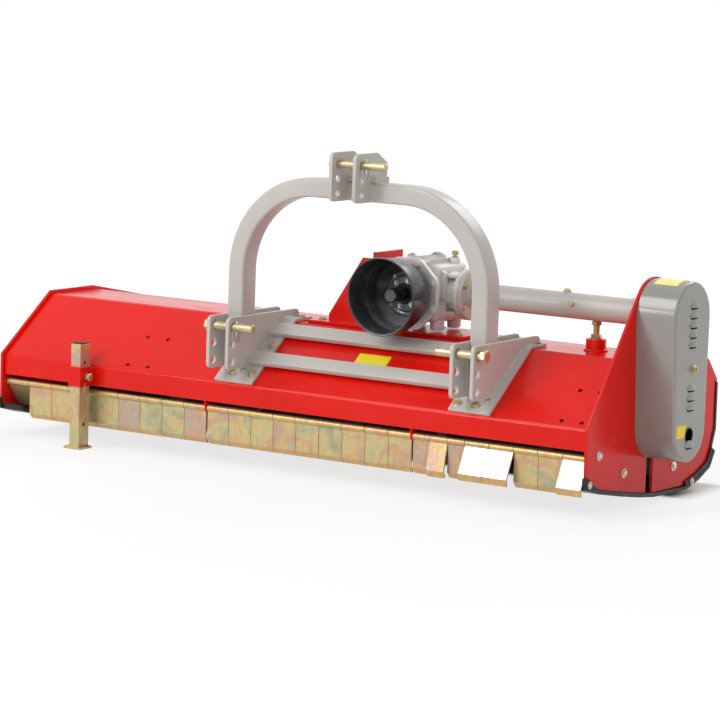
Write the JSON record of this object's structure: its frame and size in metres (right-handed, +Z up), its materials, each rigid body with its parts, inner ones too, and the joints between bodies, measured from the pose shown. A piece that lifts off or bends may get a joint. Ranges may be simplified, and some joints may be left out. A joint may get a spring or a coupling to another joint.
{
  "type": "flail mulcher",
  "caption": "Three-point flail mulcher: folded deck between end plates on skids, hitch arch, gearbox and belt drive to a hammer rotor, rear roller, hanging front flaps.",
  "frame": {"origin": "middle of the machine's footprint, on the floor", "axes": "+X along the deck towards the belt cover, -Y towards the tractor, +Z up"},
  "size_m": [1.9484, 0.7, 0.829],
  "materials": {
    "red_paint": "gloss red paint",
    "grey_paint": "warm light grey paint",
    "cover_paint": "grey paint",
    "black_paint": "black paint",
    "zinc_plate": "yellow passivated zinc",
    "cast_metal": "silver cast surface",
    "bare_steel": "turned steel",
    "black_plastic": "moulded black",
    "belt_rubber": "matt black"
  },
  "bodies": {
    "frame": {"deck_shell": "red_paint", "end_plate_left": "red_paint", "end_plate_right": "red_paint", "stand_socket": "red_paint", "gearbox_stand": "red_paint", "roller_arm_left": "red_paint", "roller_arm_right": "red_paint", "hitch_bracket_left": "grey_paint", "hitch_bracket_right": "grey_paint", "hitch_arch": "grey_paint", "crossbar_upper": "grey_paint", "crossbar_lower": "grey_paint", "top_link_clevis": "grey_paint", "drive_tube": "grey_paint", "belt_cover": "cover_paint", "skid_left": "black_paint", "skid_right": "black_paint", "flap_rod": "zinc_plate", "stand_screw": "zinc_plate", "jack_screw": "zinc_plate", "gearbox_housing": "cast_metal", "drive_bearing": "cast_metal", "rotor_bearing_left": "cast_metal", "rotor_bearing_right": "cast_metal", "pto_guard": "black_plastic", "drive_belt": "belt_rubber"},
    "rotor": {"rotor": "black_paint"},
    "rear_roller": {"rear_roller": "black_paint"},
    "drive_shaft": {"drive_shaft": "bare_steel"},
    "input_shaft": {"input_shaft": "bare_steel"},
    "stand_leg": {"stand_leg": "zinc_plate"},
    "top_link_pin": {"top_link_pin": "zinc_plate"},
    "lower_pin_left": {"lower_pin_left": "zinc_plate"},
    "lower_pin_right": {"lower_pin_right": "zinc_plate"},
    "flap_01": {"flap_01": "zinc_plate"},
    "flap_02": {"flap_02": "zinc_plate"},
    "flap_03": {"flap_03": "zinc_plate"},
    "flap_04": {"flap_04": "zinc_plate"},
    "flap_05": {"flap_05": "zinc_plate"},
    "flap_06": {"flap_06": "zinc_plate"},
    "flap_07": {"flap_07": "zinc_plate"},
    "flap_08": {"flap_08": "zinc_plate"},
    "flap_09": {"flap_09": "zinc_plate"},
    "flap_10": {"flap_10": "zinc_plate"},
    "flap_11": {"flap_11": "zinc_plate"},
    "flap_12": {"flap_12": "zinc_plate"},
    "flap_13": {"flap_13": "zinc_plate"},
    "flap_14": {"flap_14": "zinc_plate"},
    "flap_15": {"flap_15": "zinc_plate"},
    "flap_16": {"flap_16": "zinc_plate"},
    "flap_17": {"flap_17": "zinc_plate"},
    "flap_18": {"flap_18": "zinc_plate"},
    "flap_19": {"flap_19": "zinc_plate"},
    "flap_20": {"flap_20": "zinc_plate"},
    "flap_21": {"flap_21": "zinc_plate"},
    "flap_22": {"flap_22": "zinc_plate"},
    "flap_23": {"flap_23": "zinc_plate"},
    "flap_24": {"flap_24": "zinc_plate"},
    "flap_25": {"flap_25": "zinc_plate"},
    "flap_26": {"flap_26": "zinc_plate"}
  },
  "joints": [
    {"name": "rotor_spin", "type": "hinge", "parent": "frame", "child": "rotor", "pos_m": [0.15385, 0.007, 0.196], "axis": [1, 0, 0], "continuous": true},
    {"name": "drive_shaft_spin", "type": "hinge", "parent": "frame", "child": "drive_shaft", "pos_m": [0.15385, -0.003, 0.47], "axis": [1, 0, 0], "continuous": true},
    {"name": "input_shaft_spin", "type": "hinge", "parent": "frame", "child": "input_shaft", "pos_m": [0.20285, -0.003, 0.47], "axis": [0, 1, 0], "continuous": true},
    {"name": "rear_roller_spin", "type": "hinge", "parent": "frame", "child": "rear_roller", "pos_m": [0.15385, 0.25001, 0.06], "axis": [1, 0, 0], "continuous": true},
    {"name": "stand_leg_slide", "type": "slide", "parent": "frame", "child": "stand_leg", "axis": [0, 0, 1], "range_m": [0, 0.126]},
    {"name": "top_link_pin_slide", "type": "slide", "parent": "frame", "child": "top_link_pin", "axis": [1, 0, 0], "range_m": [-0.006, 0]},
    {"name": "lower_pin_left_slide", "type": "slide", "parent": "frame", "child": "lower_pin_left", "axis": [1, 0, 0], "range_m": [-0.006, 0]},
    {"name": "lower_pin_right_slide", "type": "slide", "parent": "frame", "child": "lower_pin_right", "axis": [1, 0, 0], "range_m": [-0.012, 0.1]},
    {"name": "flap_01_swing", "type": "hinge", "parent": "frame", "child": "flap_01", "pos_m": [0.15385, -0.27899, 0.144], "axis": [1, 0, 0], "range_deg": [0, 41]},
    {"name": "flap_02_swing", "type": "hinge", "parent": "frame", "child": "flap_02", "pos_m": [0.15385, -0.27899, 0.144], "axis": [1, 0, 0], "range_deg": [-100, 75]},
    {"name": "flap_03_swing", "type": "hinge", "parent": "frame", "child": "flap_03", "pos_m": [0.15385, -0.27899, 0.144], "axis": [1, 0, 0], "range_deg": [-100, 75]},
    {"name": "flap_04_swing", "type": "hinge", "parent": "frame", "child": "flap_04", "pos_m": [0.15385, -0.27899, 0.144], "axis": [1, 0, 0], "range_deg": [-12, 75]},
    {"name": "flap_05_swing", "type": "hinge", "parent": "frame", "child": "flap_05", "pos_m": [0.15385, -0.27899, 0.144], "axis": [1, 0, 0], "range_deg": [-100, 75]},
    {"name": "flap_06_swing", "type": "hinge", "parent": "frame", "child": "flap_06", "pos_m": [0.15385, -0.27899, 0.144], "axis": [1, 0, 0], "range_deg": [-100, 75]},
    {"name": "flap_07_swing", "type": "hinge", "parent": "frame", "child": "flap_07", "pos_m": [0.15385, -0.27899, 0.144], "axis": [1, 0, 0], "range_deg": [-100, 75]},
    {"name": "flap_08_swing", "type": "hinge", "parent": "frame", "child": "flap_08", "pos_m": [0.15385, -0.27899, 0.144], "axis": [1, 0, 0], "range_deg": [-100, 75]},
    {"name": "flap_09_swing", "type": "hinge", "parent": "frame", "child": "flap_09", "pos_m": [0.15385, -0.27899, 0.144], "axis": [1, 0, 0], "range_deg": [-100, 75]},
    {"name": "flap_10_swing", "type": "hinge", "parent": "frame", "child": "flap_10", "pos_m": [0.15385, -0.27899, 0.144], "axis": [1, 0, 0], "range_deg": [-100, 75]},
    {"name": "flap_11_swing", "type": "hinge", "parent": "frame", "child": "flap_11", "pos_m": [0.15385, -0.27899, 0.144], "axis": [1, 0, 0], "range_deg": [-100, 75]},
    {"name": "flap_12_swing", "type": "hinge", "parent": "frame", "child": "flap_12", "pos_m": [0.15385, -0.27899, 0.144], "axis": [1, 0, 0], "range_deg": [-100, 75]},
    {"name": "flap_13_swing", "type": "hinge", "parent": "frame", "child": "flap_13", "pos_m": [0.15385, -0.27899, 0.144], "axis": [1, 0, 0], "range_deg": [-100, 75]},
    {"name": "flap_14_swing", "type": "hinge", "parent": "frame", "child": "flap_14", "pos_m": [0.15385, -0.27899, 0.144], "axis": [1, 0, 0], "range_deg": [-100, 75]},
    {"name": "flap_15_swing", "type": "hinge", "parent": "frame", "child": "flap_15", "pos_m": [0.15385, -0.27899, 0.144], "axis": [1, 0, 0], "range_deg": [-100, 75]},
    {"name": "flap_16_swing", "type": "hinge", "parent": "frame", "child": "flap_16", "pos_m": [0.15385, -0.27899, 0.144], "axis": [1, 0, 0], "range_deg": [-100, 75]},
    {"name": "flap_17_swing", "type": "hinge", "parent": "frame", "child": "flap_17", "pos_m": [0.15385, -0.27899, 0.144], "axis": [1, 0, 0], "range_deg": [-100, 75]},
    {"name": "flap_18_swing", "type": "hinge", "parent": "frame", "child": "flap_18", "pos_m": [0.15385, -0.27899, 0.144], "axis": [1, 0, 0], "range_deg": [-100, 75]},
    {"name": "flap_19_swing", "type": "hinge", "parent": "frame", "child": "flap_19", "pos_m": [0.15385, -0.27899, 0.144], "axis": [1, 0, 0], "range_deg": [-100, 75]},
    {"name": "flap_20_swing", "type": "hinge", "parent": "frame", "child": "flap_20", "pos_m": [0.15385, -0.27899, 0.144], "axis": [1, 0, 0], "range_deg": [-88, 87]},
    {"name": "flap_21_swing", "type": "hinge", "parent": "frame", "child": "flap_21", "pos_m": [0.15385, -0.27899, 0.144], "axis": [1, 0, 0], "range_deg": [-100, 75]},
    {"name": "flap_22_swing", "type": "hinge", "parent": "frame", "child": "flap_22", "pos_m": [0.15385, -0.27899, 0.144], "axis": [1, 0, 0], "range_deg": [-75, 100]},
    {"name": "flap_23_swing", "type": "hinge", "parent": "frame", "child": "flap_23", "pos_m": [0.15385, -0.27899, 0.144], "axis": [1, 0, 0], "range_deg": [-75, 100]},
    {"name": "flap_24_swing", "type": "hinge", "parent": "frame", "child": "flap_24", "pos_m": [0.15385, -0.27899, 0.144], "axis": [1, 0, 0], "range_deg": [-100, 75]},
    {"name": "flap_25_swing", "type": "hinge", "parent": "frame", "child": "flap_25", "pos_m": [0.15385, -0.27899, 0.144], "axis": [1, 0, 0], "range_deg": [-100, 75]},
    {"name": "flap_26_swing", "type": "hinge", "parent": "frame", "child": "flap_26", "pos_m": [0.15385, -0.27899, 0.144], "axis": [1, 0, 0], "range_deg": [-75, 0]}
  ],
  "couplings": [
    {"joint": "drive_shaft_spin", "follows": "rotor_spin", "ratio": 0.8597},
    {"joint": "input_shaft_spin", "follows": "rotor_spin", "ratio": 0.3517}
  ]
}
